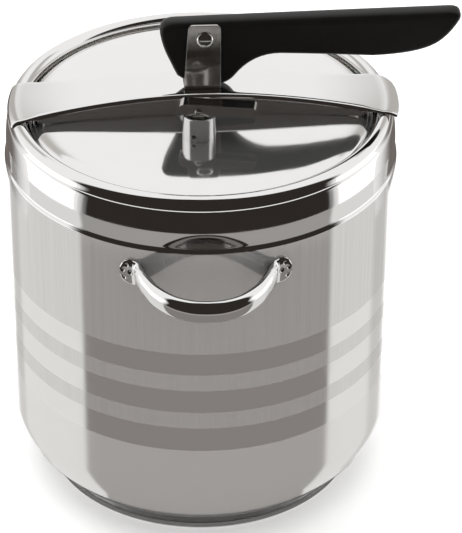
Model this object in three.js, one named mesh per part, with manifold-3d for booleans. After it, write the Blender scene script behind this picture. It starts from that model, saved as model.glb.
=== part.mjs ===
// Stovetop pressure cooker with an inner lid held up under the pot's rolled rim by a bridge and a cam lever.
// Units are millimetres. +Z is up, +X runs along the bridge towards the lever's grip, the origin is on
// the pot's axis at the surface it stands on. Every moving piece is modelled closed and ready to cook.

import * as THREE from "three";
import { mergeVertices } from "three/addons/utils/BufferGeometryUtils.js";
import Module from "manifold-3d";

const wasm = await Module();
wasm.setup();

// ---------------------------------------------------------------- driving dimensions

const GAP = 0.3; // clearance between pieces that touch
const SEGMENTS = 48; // facets round the large turned pieces
const SMALL_SEGMENTS = 16; // facets round the small turned pieces

const POT_RADIUS = 110; // outside of the straight wall
const POT_WALL = 1.2;
const BASE_RADIUS = 90;
const BASE_HEIGHT = 4.2;
const BASE_SKIN = 0.6;
const FLOOR_Z = 4.7; // underside of the pot's floor
const CORNER_RADIUS = 38; // between floor and wall
const BEAD = { r: 102, z: 228.4, radius: 3.9 }; // rolled rim: centre of the roll and its outside radius
const BEAD_TOP = BEAD.z + BEAD.radius;

const LID_TOP_Z = 230.4; // flat middle of the lid
const LID_FLAT_RADIUS = 66;
const LID_RIM_Z = 222.3; // top face of the rim that the gasket is fitted on
const LID_RADIUS = 102.6;
const LID_THICKNESS = 1;
const UNDER_LID_Z = LID_TOP_Z - LID_THICKNESS - GAP;

const BRIDGE_THICKNESS = 1.2;
const BRIDGE_TOP_Z = 243.2; // top face over the pot's axis
const BRIDGE_END_Z = BEAD_TOP + 2 * GAP + BRIDGE_THICKNESS;
const BRIDGE_HALF_WIDTH = { middle: 13.5, end: 21.8 };
const BRIDGE_FLANGE = { bottomZ: 231.2, endDepth: 1.5 }; // lower edge of the flanges, and depth at the tips
const BRIDGE_BEND = 3; // outside radius where the flanges turn down
// each end bends down over the rolled rim: left one hugs it, right one runs out further and flatter
const BRIDGE_HOOKS = { left: { radius: 5.7, angle: 74 }, right: { radius: 14, angle: 36 } };

const PIVOT_X = 2;
const PIVOT_Z = 274; // axis of the lever's pin
const PIN_RADIUS = 3;
const LEVER_HALF_THICKNESS = 5.5;
const CAM_DROP_PER_RADIAN = 3.6; // how far the lid comes down as the lever is raised
const STRAP_THICKNESS = 1.4;
const STRAP = { left: -9.5, right: 10.8, topLeft: -7.2, taperStart: 245, frontTop: 282.7, backTop: 280.6 };
const STRAP_FOOT = 4; // how far the foot reaches outward, inside the bridge's hollow
const STRAP_INNER_Y = LEVER_HALF_THICKNESS + GAP + 0.1;

const VALVE = { x: -2.5, y: -34 }; // pressure valve's axis
const TUBE_RADIUS = 9.15;
const TUBE_INNER_RADIUS = 7.65;
const TUBE_BASE_Z = LID_TOP_Z + GAP;
const TUBE_TOP_Z = 243.4;
const FLIP_PIVOT_Z = 246.4;
const FLIP_TURN = -9.4; // degrees that the flip lever is turned from the bridge's line

const SAFETY = { x: -2.5, y: 34 }; // safety valve's axis

const HANDLE_TURN = -1.4; // degrees that the pot is turned under the bridge
const HANDLE_Z = 186.5; // middle of the side handles
const HANDLE_HEIGHT = 13;
const HANDLE_BAR = 6.6; // thickness of the bar, seen from above

// ---------------------------------------------------------------- materials

const polished = { color: 0xc9c9c9, roughness: 0.08, metalness: 1 };
const brushed = { color: 0xb4b2b0, roughness: 0.35, metalness: 1 };
const zinc = { color: 0xa8a8a6, roughness: 0.4, metalness: 1 };
const aluminium = { color: 0xb9bbbd, roughness: 0.5, metalness: 1 };
const bakelite = { color: 0x141312, roughness: 0.45, metalness: 0 };
const silicone = { color: 0xd9d6cf, roughness: 0.7, metalness: 0 };

const part = new THREE.Group();

function addPiece(name, geometry, finish) {
  const mesh = new THREE.Mesh(geometry, new THREE.MeshStandardMaterial(finish));
  mesh.name = name;
  part.add(mesh);
}

// ---------------------------------------------------------------- solids

const rad = THREE.MathUtils.degToRad;

// Welds a geometry into one closed mesh of positions only, with its faces pointing out.
function weld(geometry) {
  const bare = geometry.clone();
  bare.deleteAttribute("normal");
  bare.deleteAttribute("uv");
  const merged = mergeVertices(bare, 1e-4);
  const at = merged.attributes.position;
  const corner = [0, 1, 2].map(() => new THREE.Vector3());
  const faces = [];
  let volume = 0;
  for (let i = 0; i < merged.index.count; i += 3) {
    const ids = [0, 1, 2].map((k) => merged.index.getX(i + k));
    if (ids[0] === ids[1] || ids[1] === ids[2] || ids[2] === ids[0]) continue;
    ids.forEach((id, k) => corner[k].fromBufferAttribute(at, id));
    volume += corner[0].dot(corner[1].clone().cross(corner[2]));
    faces.push(ids);
  }
  if (volume < 0) faces.forEach((ids) => ids.reverse());
  merged.setIndex(faces.flat());
  return merged;
}

function toSolid(geometry) {
  const closed = weld(geometry);
  return new wasm.Manifold(
    new wasm.Mesh({
      numProp: 3,
      vertProperties: new Float32Array(closed.attributes.position.array),
      triVerts: new Uint32Array(closed.index.array),
    }),
  );
}

function toGeometry(solid) {
  const mesh = solid.getMesh();
  const geometry = new THREE.BufferGeometry();
  geometry.setAttribute("position", new THREE.BufferAttribute(mesh.vertProperties, 3));
  geometry.setIndex(new THREE.BufferAttribute(mesh.triVerts, 1));
  return geometry;
}

function cut(geometry, ...tools) {
  return toGeometry(tools.reduce((solid, tool) => solid.subtract(toSolid(tool)), toSolid(geometry)));
}

function join(geometry, ...others) {
  return toGeometry(others.reduce((solid, other) => solid.add(toSolid(other)), toSolid(geometry)));
}

// Points on an arc, angles in degrees, first and last included.
function arc(cx, cy, radius, from, to, steps) {
  return Array.from({ length: steps + 1 }, (_, i) => {
    const angle = rad(from + ((to - from) * i) / steps);
    return [cx + radius * Math.cos(angle), cy + radius * Math.sin(angle)];
  });
}

// Solid of revolution about +Z from [radius, height] points that start and end on the axis.
function turned(profile, segments = SMALL_SEGMENTS) {
  const points = profile.map(([r, z]) => new THREE.Vector2(r, z));
  return weld(new THREE.LatheGeometry(points, segments).rotateX(Math.PI / 2));
}

// The same for a ring, whose profile closes on itself.
function turnedRing(profile, segments = SMALL_SEGMENTS) {
  return turned([...profile, profile[0]], segments);
}

function box(x0, x1, y0, y1, z0, z1) {
  const geometry = new THREE.BoxGeometry(x1 - x0, y1 - y0, z1 - z0);
  return geometry.translate((x0 + x1) / 2, (y0 + y1) / 2, (z0 + z1) / 2);
}

function rodAlongY(radius, y0, y1, x, z, segments = SMALL_SEGMENTS) {
  const geometry = new THREE.CylinderGeometry(radius, radius, y1 - y0, segments);
  return geometry.translate(x, (y0 + y1) / 2, z);
}

// Plate drawn in X and Z, standing between y0 and y1.
function plate(shape, y0, y1) {
  const geometry = new THREE.ExtrudeGeometry(shape, { depth: y1 - y0, bevelEnabled: false, curveSegments: 6 });
  return geometry.rotateX(Math.PI / 2).translate(0, y1, 0);
}

// Closed skin between two grids of points, rows by columns, such as a pressed sheet's two faces.
function skin(outer, inner) {
  const rows = outer.length;
  const columns = outer[0].length;
  const positions = [...outer.flat(), ...inner.flat()].flat();
  const offset = rows * columns;
  const index = [];
  const quad = (a, b, c, d) => index.push(a, b, c, a, c, d);
  for (let i = 0; i < rows - 1; i += 1) {
    for (let j = 0; j < columns - 1; j += 1) {
      const a = i * columns + j;
      quad(a, a + 1, a + columns + 1, a + columns);
      quad(offset + a, offset + a + columns, offset + a + columns + 1, offset + a + 1);
    }
  }
  for (let i = 0; i < rows - 1; i += 1) {
    const first = i * columns;
    const last = first + columns - 1;
    quad(first, first + columns, offset + first + columns, offset + first);
    quad(last, offset + last, offset + last + columns, last + columns);
  }
  for (let j = 0; j < columns - 1; j += 1) {
    const last = (rows - 1) * columns + j;
    quad(j, offset + j, offset + j + 1, j + 1);
    quad(last, last + 1, offset + last + 1, offset + last);
  }
  const geometry = new THREE.BufferGeometry();
  geometry.setAttribute("position", new THREE.Float32BufferAttribute(positions, 3));
  geometry.setIndex(index);
  return geometry;
}

// Wire wound round +Z, a closed solid with flat ends.
function coil(radius, wire, z0, z1, turns) {
  const steps = turns * 10;
  const points = Array.from({ length: steps + 1 }, (_, i) => {
    const angle = (2 * Math.PI * turns * i) / steps;
    const z = z0 + wire + ((z1 - z0 - 2 * wire) * i) / steps;
    return new THREE.Vector3(radius * Math.cos(angle), radius * Math.sin(angle), z);
  });
  const section = new THREE.Shape().absarc(0, 0, wire, 0, 2 * Math.PI);
  const path = new THREE.CatmullRomCurve3(points);
  return weld(new THREE.ExtrudeGeometry(section, { steps, extrudePath: path, curveSegments: 3 }));
}

// ---------------------------------------------------------------- pot

function potShell() {
  const cornerR = POT_RADIUS - CORNER_RADIUS;
  const cornerZ = FLOOR_Z + CORNER_RADIUS;
  const inner = POT_RADIUS - POT_WALL;
  const outside = [
    [0, FLOOR_Z],
    ...arc(cornerR, cornerZ, CORNER_RADIUS, -90, 0, 6),
    [POT_RADIUS, 201],
    [109, 203.2],
    [108.95, 209],
    [108.6, 214],
    [107.9, 218],
    [106.9, 221.2],
    [105.6, 224.4],
    ...arc(BEAD.r, BEAD.z, BEAD.radius, -35, 215, 10),
  ];
  const inside = [
    ...arc(BEAD.r, BEAD.z, BEAD.radius - POT_WALL, 215, -20, 7),
    [104.2, 225.4],
    [105.6, 221.6],
    [106.8, 217.7],
    [107.5, 213.8],
    [107.8, 209],
    [107.8, 202.4],
    [inner, 199.8],
    ...arc(cornerR, cornerZ, CORNER_RADIUS - POT_WALL, 0, -90, 6),
    [0, FLOOR_Z + POT_WALL],
  ];
  return turned([...outside, ...inside], SEGMENTS);
}

function heatDisc() {
  const top = BASE_HEIGHT + 0.1;
  const edge = BASE_RADIUS - BASE_SKIN - GAP;
  return turned(
    [
      [0, BASE_SKIN + GAP],
      [edge - 1.3, BASE_SKIN + GAP],
      [edge, BASE_SKIN + 1.5],
      [edge, top],
      [87, 6.2],
      [84, 5.9],
      [79, 4.8],
      [74, top],
      [0, top],
    ],
    SEGMENTS,
  );
}

function baseCap() {
  const inner = BASE_RADIUS - BASE_SKIN;
  return turned(
    [
      [0, 0],
      [BASE_RADIUS - 1.5, 0],
      [BASE_RADIUS, 1.5],
      [BASE_RADIUS, BASE_HEIGHT],
      [inner, BASE_HEIGHT],
      [inner, BASE_SKIN + 1.2],
      [inner - 1.2, BASE_SKIN],
      [0, BASE_SKIN],
    ],
    SEGMENTS,
  );
}

// Loop handle seen from above, about its own middle: a flattened end, the bar's curve, the other end.
function sideHandle(turn) {
  const half = [
    [35.6, -102],
    [34, -110],
    [31.2, -119],
    [26.9, -128],
    [18, -138.6],
  ];
  const mirrored = half.map(([x, y]) => [-x, y]);
  const route = [...mirrored, [0, -143], ...half.reverse()];
  const path = new THREE.CatmullRomCurve3(route.map(([x, y]) => new THREE.Vector3(x, y, HANDLE_Z)));
  const section = new THREE.Shape().absellipse(0, 0, HANDLE_HEIGHT / 2, HANDLE_BAR / 2, 0, 2 * Math.PI);
  const bar = new THREE.ExtrudeGeometry(section, { steps: 20, extrudePath: path, curveSegments: 5 });
  const pads = [-1, 1].map((side) => weldPad(side));
  const wall = new THREE.CylinderGeometry(POT_RADIUS + GAP, POT_RADIUS + GAP, 60, SEGMENTS * 2);
  wall.rotateX(Math.PI / 2).translate(0, 0, HANDLE_Z);
  return cut(join(bar, ...pads), wall).rotateZ(rad(turn));
}

// Flattened end of a side handle, bent to the pot's wall.
function weldPad(side) {
  const innerEdge = 18.2;
  const outerEdge = 24.4;
  const start = side < 0 ? -90 - outerEdge : -90 + innerEdge - 4;
  const end = side < 0 ? -90 - innerEdge + 4 : -90 + outerEdge;
  const shape = new THREE.Shape([
    ...arc(0, 0, POT_RADIUS + 1.9, start, end, 6).map((p) => new THREE.Vector2(...p)),
    ...arc(0, 0, POT_RADIUS - 1, end, start, 6).map((p) => new THREE.Vector2(...p)),
  ]);
  const height = HANDLE_HEIGHT + 2.5;
  const pad = new THREE.ExtrudeGeometry(shape, { depth: height, bevelEnabled: false });
  return pad.translate(0, 0, HANDLE_Z - height / 2);
}

// ---------------------------------------------------------------- bridge

function bridgeTopZ(x) {
  const reach = Math.min(1, Math.abs(x) / BEAD.r);
  return BRIDGE_TOP_Z - (BRIDGE_TOP_Z - BRIDGE_END_Z) * reach ** 1.8;
}

function bridgeHalfWidth(x) {
  const { middle, end } = BRIDGE_HALF_WIDTH;
  return middle + (end - middle) * Math.min(1, Math.abs(x) / BEAD.r) ** 2;
}

function bridgeFlange(x) {
  const { bottomZ, endDepth } = BRIDGE_FLANGE;
  const inside = 1 - THREE.MathUtils.smoothstep(Math.abs(x), 86, 96);
  return endDepth + (bridgeTopZ(x) - bottomZ - endDepth) * inside;
}

// Half of the bridge's cross-section from its middle to its flange's edge: [y, height, normal y, normal z].
function bridgeHalfSection(x) {
  const width = bridgeHalfWidth(x);
  const depth = bridgeFlange(x);
  const bend = Math.min(BRIDGE_BEND, depth);
  const turn = [0, 30, 60, 90].map((degrees) => {
    const a = rad(degrees);
    return [width - bend + bend * Math.sin(a), bend * Math.cos(a) - bend, Math.sin(a), Math.cos(a)];
  });
  const halfway = (width - bend) / 2;
  return [[halfway, 0, 0, 1], ...turn, [width, -depth - 0.01, 1, 0]];
}

// Place along the bridge, following its arch and then the bend over the rim.
function bridgeStation(s) {
  const side = Math.sign(s);
  const hook = s < 0 ? BRIDGE_HOOKS.left : BRIDGE_HOOKS.right;
  const past = Math.abs(s) - BEAD.r;
  if (past <= 0) return { x: s, z: bridgeTopZ(s), tilt: 0 };
  const angle = past / hook.radius;
  const x = side * (BEAD.r + hook.radius * Math.sin(angle));
  return { x, z: BRIDGE_END_Z - hook.radius * (1 - Math.cos(angle)), tilt: side * angle };
}

function bridge() {
  const arched = [-98, -90, -80, -68, -54, -40, -27, -13.5, 0, 13.5, 27, 40, 54, 68, 80, 90, 98];
  const hooked = (hook) => [0, 0.25, 0.5, 0.75, 1].map((t) => BEAD.r + t * rad(hook.angle) * hook.radius);
  const left = hooked(BRIDGE_HOOKS.left).map((s) => -s);
  const stations = [...left.reverse(), ...arched, ...hooked(BRIDGE_HOOKS.right)];
  const outer = [];
  const inner = [];
  stations.forEach((s) => {
    const { x, z, tilt } = bridgeStation(s);
    const half = bridgeHalfSection(s);
    const section = [
      ...half.map(([y, h, ny, nz]) => [-y, h, -ny, nz]).reverse(),
      [0, 0, 0, 1],
      ...half,
    ];
    // near the ends every point is drawn in towards the middle, so that the bend follows the round rim
    const pull = THREE.MathUtils.smoothstep(Math.abs(s), 80, BEAD.r) / (2 * BEAD.r);
    const place = (y, h) => {
      const along = x - Math.sign(s) * y * y * pull;
      return [along + h * Math.sin(tilt), y, z + h * Math.cos(tilt)];
    };
    outer.push(section.map(([y, h]) => place(y, h)));
    inner.push(section.map(([y, h, ny, nz]) => place(y - ny * BRIDGE_THICKNESS, h - nz * BRIDGE_THICKNESS)));
  });
  const slotMargin = 0.6;
  const slots = [-1, 1].map((side) => {
    const near = side * (STRAP_INNER_Y - 0.4);
    const far = side * (STRAP_INNER_Y + STRAP_THICKNESS + 0.4);
    const left = STRAP.left - slotMargin;
    const right = STRAP.right + slotMargin;
    return box(left, right, Math.min(near, far), Math.max(near, far), BRIDGE_TOP_Z - 5, BRIDGE_TOP_Z + 5);
  });
  return cut(skin(outer, inner), ...slots);
}

// ---------------------------------------------------------------- lid

function lidDisc() {
  const top = [
    [0, LID_TOP_Z],
    [LID_FLAT_RADIUS, LID_TOP_Z],
    [77, LID_TOP_Z - 0.2],
    [84, LID_TOP_Z - 0.5],
    [90, LID_TOP_Z - 1.1],
    [94, LID_TOP_Z - 2.3],
    [96.6, LID_TOP_Z - 4.2],
    [99.4, LID_RIM_Z],
  ];
  const edge = [LID_RADIUS, LID_RIM_Z];
  const slope = 0.6; // the underside of the steep shoulder is drawn in, so that the sheet keeps its thickness
  const under = top.map(([r, z]) => [z < LID_TOP_Z - 1 ? r - slope : r, z - LID_THICKNESS]);
  const disc = turned([...under, [LID_RADIUS, LID_RIM_Z - LID_THICKNESS], edge, ...top.reverse()], SEGMENTS);
  const holes = [
    [VALVE, 5.3],
    [SAFETY, 4.4],
  ].map(([place, radius]) => {
    const drill = new THREE.CylinderGeometry(radius, radius, 20, SMALL_SEGMENTS);
    return drill.rotateX(Math.PI / 2).translate(place.x, place.y, LID_TOP_Z);
  });
  return cut(disc, ...holes);
}

// Silicone ring with a groove that the lid's edge sits in.
function lidGasket() {
  const top = BEAD.z - 2.8;
  const bottom = LID_RIM_Z - LID_THICKNESS - 2.4;
  return turnedRing(
    [
      [98.6, bottom],
      [105.2, bottom],
      [105.2, LID_RIM_Z - 0.4],
      [103.4, top],
      [98.4, top],
      [100.3, LID_RIM_Z + GAP],
      [LID_RADIUS + GAP, LID_RIM_Z + GAP],
      [LID_RADIUS + GAP, LID_RIM_Z - LID_THICKNESS - GAP],
      [98.6, LID_RIM_Z - LID_THICKNESS - GAP],
    ],
    SEGMENTS,
  );
}

// L-shaped strap: a foot welded to the lid and an upright that carries the lever's pin. The back one is shorter.
function strap(side) {
  const { left, right, topLeft, taperStart } = STRAP;
  const top = side < 0 ? STRAP.frontTop : STRAP.backTop;
  const foot = LID_TOP_Z + GAP;
  const corner = 2.8;
  const shape = new THREE.Shape();
  shape.moveTo(left, foot).lineTo(right, foot).lineTo(right, top - corner);
  shape.absarc(right - corner, top - corner, corner, 0, Math.PI / 2, false);
  shape.absarc(topLeft + corner, top - corner, corner, Math.PI / 2, Math.PI, false);
  shape.lineTo(left, taperStart);
  const span = (near, far) => [side * near, side * far].sort((a, b) => a - b);
  const outerY = STRAP_INNER_Y + STRAP_THICKNESS;
  const upright = plate(shape, ...span(STRAP_INNER_Y, outerY));
  const base = box(left, right, ...span(STRAP_INNER_Y, outerY + STRAP_FOOT), foot, foot + STRAP_THICKNESS);
  const hole = rodAlongY(PIN_RADIUS + GAP, ...span(0, outerY + 5), PIVOT_X, PIVOT_Z);
  return cut(join(upright, base), hole);
}

function leverPin() {
  const face = STRAP_INNER_Y + STRAP_THICKNESS + GAP;
  const head = 4.5;
  const profile = [
    [0, -face - 1.8],
    [head - 1.4, -face - 1.5],
    [head, -face - 0.5],
    [head, -face],
    [PIN_RADIUS, -face],
    [PIN_RADIUS, face],
    [head, face],
    [head, face + 0.5],
    [head - 1.4, face + 1.5],
    [0, face + 1.8],
  ];
  return turned(profile).rotateX(Math.PI / 2).translate(PIVOT_X, 0, PIVOT_Z);
}

// ---------------------------------------------------------------- lever

// Point of the cam that stands on the bridge when the lever has been raised by an angle: the curve whose
// height under the pin falls evenly with the angle.
function camPoint(degrees) {
  const a = rad(degrees);
  const k = CAM_DROP_PER_RADIAN;
  const height = PIVOT_Z - BRIDGE_TOP_Z - GAP - k * a;
  return [-height * Math.sin(a) + k * Math.cos(a), -height * Math.cos(a) - k * Math.sin(a)];
}

function leverOutline() {
  const cam = [0, 10, 20, 30, 40].map(camPoint).reverse();
  const shape = new THREE.Shape();
  shape.moveTo(-24.3, 2);
  shape.quadraticCurveTo(-23.2, -5.5, -20.4, -12);
  shape.lineTo(-16.9, -20.2);
  cam.forEach(([x, z]) => shape.lineTo(x, z));
  shape.quadraticCurveTo(12, -30.4, 16.4, -25.2);
  shape.quadraticCurveTo(26.4, -11.4, 41.8, -11.7);
  shape.quadraticCurveTo(66, -12.7, 92.6, -14.6);
  shape.quadraticCurveTo(117.4, -14.2, 127.6, -8);
  shape.quadraticCurveTo(135, -3.2, 140.2, 6.6);
  shape.quadraticCurveTo(142.6, 12.2, 134, 12.2);
  shape.quadraticCurveTo(60, 11, -16, 9.3);
  shape.quadraticCurveTo(-24.6, 9.2, -24.3, 2);
  return shape;
}

function leverHandle() {
  const body = plate(leverOutline(), -LEVER_HALF_THICKNESS, LEVER_HALF_THICKNESS).translate(PIVOT_X, 0, PIVOT_Z);
  const bore = rodAlongY(PIN_RADIUS + 1.5 + 2 * GAP, -10, 10, PIVOT_X, PIVOT_Z);
  return cut(body, bore);
}

function leverBush() {
  const half = LEVER_HALF_THICKNESS;
  const bore = PIN_RADIUS + GAP;
  const outside = PIN_RADIUS + 1.5 + GAP;
  const ring = [
    [bore, -half],
    [outside, -half],
    [outside, half],
    [bore, half],
  ];
  return turnedRing(ring).rotateX(Math.PI / 2).translate(PIVOT_X, 0, PIVOT_Z);
}

// ---------------------------------------------------------------- pressure valve

function atValve(geometry) {
  return geometry.translate(VALVE.x, VALVE.y, 0);
}

function valveTube() {
  const tube = turnedRing([
    [5.3, TUBE_BASE_Z],
    [TUBE_RADIUS, TUBE_BASE_Z],
    [TUBE_RADIUS, TUBE_TOP_Z],
    [TUBE_INNER_RADIUS, TUBE_TOP_Z],
    [TUBE_INNER_RADIUS, TUBE_BASE_Z + 1.2],
    [5.3, TUBE_BASE_Z + 1.2],
  ], 24);
  const vent = rodAlongY(1.2, -12, 0, 0, TUBE_BASE_Z + 2.8, 8).rotateZ(rad(-22));
  return atValve(cut(tube, vent));
}

function valveSeat() {
  return atValve(turnedRing([
    [1.8, LID_TOP_Z - 10],
    [5, LID_TOP_Z - 10],
    [5, TUBE_BASE_Z + 1.5],
    [7.2, TUBE_BASE_Z + 1.5],
    [7.2, TUBE_BASE_Z + 2.4],
    [3.6, TUBE_BASE_Z + 2.6],
    [3.2, TUBE_BASE_Z + 3.7],
    [1.8, TUBE_BASE_Z + 3.7],
  ]));
}

function washer(place, bore, outside, z0, z1) {
  const ring = [[bore, z0], [outside, z0], [outside, z1], [bore, z1]];
  return turnedRing(ring).translate(place.x, place.y, 0);
}

function hexNut(place, bore, acrossFlats, z0, z1) {
  const nut = new THREE.CylinderGeometry(acrossFlats / Math.sqrt(3), acrossFlats / Math.sqrt(3), z1 - z0, 6);
  const hole = new THREE.CylinderGeometry(bore, bore, 2 * (z1 - z0), SMALL_SEGMENTS);
  return cut(nut, hole).rotateX(Math.PI / 2).translate(place.x, place.y, (z0 + z1) / 2);
}

function valveStem() {
  const disc = TUBE_BASE_Z + 4;
  const stem = turned([
    [0, disc],
    [2.4, disc],
    [2.4, disc + 0.3],
    [5, disc + 0.7],
    [5, disc + 1.7],
    [2.2, disc + 1.7],
    [2.2, FLIP_PIVOT_Z + 2],
    [0, FLIP_PIVOT_Z + 2],
  ]);
  const pinHole = rodAlongY(1.3, -5, 5, 0, FLIP_PIVOT_Z, 16);
  return atValve(cut(stem, pinHole).rotateZ(rad(FLIP_TURN)));
}

function valveGuide() {
  const outside = TUBE_INNER_RADIUS - GAP;
  return atValve(turnedRing([
    [2.5, TUBE_TOP_Z - 2.8],
    [outside, TUBE_TOP_Z - 2.8],
    [outside, TUBE_TOP_Z - 2.1],
    [outside - 0.7, TUBE_TOP_Z - 1.6],
    [2.5, TUBE_TOP_Z - 1.6],
  ]));
}

// Channel-shaped lever over the valve: a web on top, two side flanges and a rounded, turned-down left end.
function flipLever() {
  const x0 = -11;
  const x1 = 31.2;
  const top = FLIP_PIVOT_Z + 4.2;
  const bottom = FLIP_PIVOT_Z - 2.4;
  const bend = 3.6;
  const outline = new THREE.Shape();
  outline.moveTo(x0, bottom).lineTo(x1, bottom + 0.6).lineTo(x1, top - 1).lineTo(x1 - 1, top);
  outline.absarc(x0 + bend, top - bend, bend, Math.PI / 2, Math.PI, false);
  const channel = plate(outline, -4.2, 4.2);
  const inside = new THREE.Shape();
  inside.moveTo(x0 + 1, bottom - 5).lineTo(x1 + 5, bottom - 5).lineTo(x1 + 5, top - 0.9);
  inside.absarc(x0 + bend, top - bend, bend - 0.95, Math.PI / 2, Math.PI, false);
  const hollow = plate(inside, -3.3, 3.3);
  const pinHole = rodAlongY(1.3, -8, 8, 0, FLIP_PIVOT_Z, 16);
  return atValve(cut(channel, hollow, pinHole).rotateZ(rad(FLIP_TURN)));
}

function flipPin() {
  const profile = [
    [0, -5.6],
    [1.9, -5.2],
    [1.9, -4.5],
    [1, -4.5],
    [1, 4.5],
    [1.9, 4.5],
    [1.9, 5.2],
    [0, 5.6],
  ];
  return atValve(turned(profile).rotateX(Math.PI / 2).translate(0, 0, FLIP_PIVOT_Z).rotateZ(rad(FLIP_TURN)));
}

// ---------------------------------------------------------------- safety valve

function atSafety(geometry) {
  return geometry.translate(SAFETY.x, SAFETY.y, 0);
}

function safetyHousing() {
  const seat = LID_TOP_Z + GAP;
  return atSafety(turnedRing([
    [1.8, LID_TOP_Z - 10],
    [4.1, LID_TOP_Z - 10],
    [4.1, seat],
    [7, seat],
    [7, seat + 2.4],
    [6.3, seat + 3],
    [6.3, seat + 10.2],
    [5.2, seat + 11.4],
    [2.2, seat + 11.4],
    [2.2, seat + 10],
    [5, seat + 10],
    [5, seat + 3.4],
    [1.8, seat + 3.4],
  ]));
}

function safetyPlunger() {
  const foot = LID_TOP_Z + 4;
  return atSafety(turned([
    [0, foot],
    [4.5, foot],
    [4.5, foot + 1.5],
    [1.7, foot + 1.9],
    [1.7, foot + 9.9],
    [1.2, foot + 10.3],
    [0, foot + 10.3],
  ]));
}

// ---------------------------------------------------------------- assembly

addPiece("pot_shell", potShell(), brushed);
addPiece("heat_disc", heatDisc(), aluminium);
addPiece("base_cap", baseCap(), brushed);
addPiece("side_handle_front", sideHandle(HANDLE_TURN), polished);
addPiece("side_handle_back", sideHandle(HANDLE_TURN + 180), polished);

addPiece("bridge", bridge(), polished);

addPiece("lid_disc", lidDisc(), polished);
addPiece("lid_gasket", lidGasket(), silicone);
addPiece("strap_front", strap(-1), polished);
addPiece("strap_back", strap(1), polished);
addPiece("lever_pin", leverPin(), polished);

addPiece("lever_handle", leverHandle(), bakelite);
addPiece("lever_bush", leverBush(), zinc);

addPiece("valve_tube", valveTube(), polished);
addPiece("valve_seat", valveSeat(), zinc);
addPiece("valve_washer", washer(VALVE, 5.5, 9, UNDER_LID_Z - 2.5, UNDER_LID_Z), silicone);
addPiece("valve_nut", hexNut(VALVE, 5.3, 15, UNDER_LID_Z - 6.8, UNDER_LID_Z - 2.8), zinc);
addPiece("valve_guide", valveGuide(), zinc);
addPiece("valve_stem", valveStem(), zinc);
addPiece("valve_spring", atValve(coil(3.9, 0.35, TUBE_BASE_Z + 6, TUBE_TOP_Z - 3.1, 2)), zinc);
addPiece("flip_lever", flipLever(), polished);
addPiece("flip_lever_pin", flipPin(), polished);

addPiece("safety_housing", safetyHousing(), zinc);
addPiece("safety_washer", washer(SAFETY, 4.5, 8, UNDER_LID_Z - 2.5, UNDER_LID_Z), silicone);
addPiece("safety_nut", hexNut(SAFETY, 4.4, 12, UNDER_LID_Z - 6.2, UNDER_LID_Z - 2.8), zinc);
addPiece("safety_plunger", safetyPlunger(), zinc);
addPiece("safety_spring", atSafety(coil(3.2, 0.4, LID_TOP_Z + 6.2, LID_TOP_Z + 10, 3)), zinc);

export default part;
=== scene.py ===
import math

import bmesh
import bpy
from mathutils import Matrix, Vector


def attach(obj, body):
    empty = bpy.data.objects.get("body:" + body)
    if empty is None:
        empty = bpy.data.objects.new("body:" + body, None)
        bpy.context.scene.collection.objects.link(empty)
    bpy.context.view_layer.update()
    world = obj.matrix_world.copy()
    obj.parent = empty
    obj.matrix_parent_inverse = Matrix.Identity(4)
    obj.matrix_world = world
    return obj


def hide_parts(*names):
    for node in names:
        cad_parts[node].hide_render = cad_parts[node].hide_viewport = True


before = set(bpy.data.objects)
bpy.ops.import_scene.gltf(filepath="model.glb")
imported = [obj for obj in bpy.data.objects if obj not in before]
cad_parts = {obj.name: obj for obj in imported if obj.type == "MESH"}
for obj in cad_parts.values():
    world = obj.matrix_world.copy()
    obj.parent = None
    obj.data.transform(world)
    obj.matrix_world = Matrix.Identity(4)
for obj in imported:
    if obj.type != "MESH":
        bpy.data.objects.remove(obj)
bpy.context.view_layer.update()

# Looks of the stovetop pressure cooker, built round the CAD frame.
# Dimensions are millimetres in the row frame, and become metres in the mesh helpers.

SCENE = bpy.context.scene
MM = 0.001

# ---------------------------------------------------------------- driving dimensions

SEGMENTS = 192  # facets round the large turned pieces
SMALL_SEGMENTS = 48
GAP = 0.3

POT_RADIUS = 110
POT_WALL = 1.2
FLOOR_Z = 4.7
CORNER_RADIUS = 38
BASE_RADIUS = 90
BASE_HEIGHT = 4.2
BEAD_R, BEAD_Z, BEAD_RADIUS = 102, 228.4, 3.9  # the rolled rim's centre and radius
BEAD_SWELL = 0.7  # how much fuller the rim's outer quarter is
POLISHED_BANDS = ((122.4, 136.2), (97.1, 111.8), (71.1, 86.5))
WALL_TOP_Z, COLLAR_Z = 198, 200.8  # end of the straight wall, foot of the step under the polished collar

LID_TOP_Z = 230.4
LID_RIM_Z = 222.3
LID_RADIUS = 102.6
LID_THICKNESS = 1

BRIDGE_TOP_Z = 243.2
BRIDGE_END_Z = 234.1
BRIDGE_HALF_WIDTH, BRIDGE_FLARE = 13.5, 8.3  # at the middle, and how much wider each half is at the ends
BRIDGE_THICKNESS = 1.2
BRIDGE_BEND = 3
FLANGE_BOTTOM_Z = 230.5
BRIDGE_HOOKS = {-1: (5.7, 74), 1: (14, 36)}  # bend over the rim at each end: radius, degrees
BRIDGE_BACK_CORNER = 12  # rounding of the right end's back corner

PIVOT_X, PIVOT_Z = 2, 274
PIN_RADIUS = 3
LEVER_HALF_THICKNESS = 5.5
LEVER_ROUNDING = 3
CAM_DROP_PER_RADIAN = 3.6
STRAP_LEFT, STRAP_TOP_LEFT, STRAP_RIGHT = -9.5, -7.2, 10.8
STRAP_TOPS = {-1: 282.7, 1: 280.6}  # front and back
STRAP_TAPER_Z = 245
STRAP_INNER_Y = 5.9
STRAP_OUTER_Y = 7.3

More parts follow.
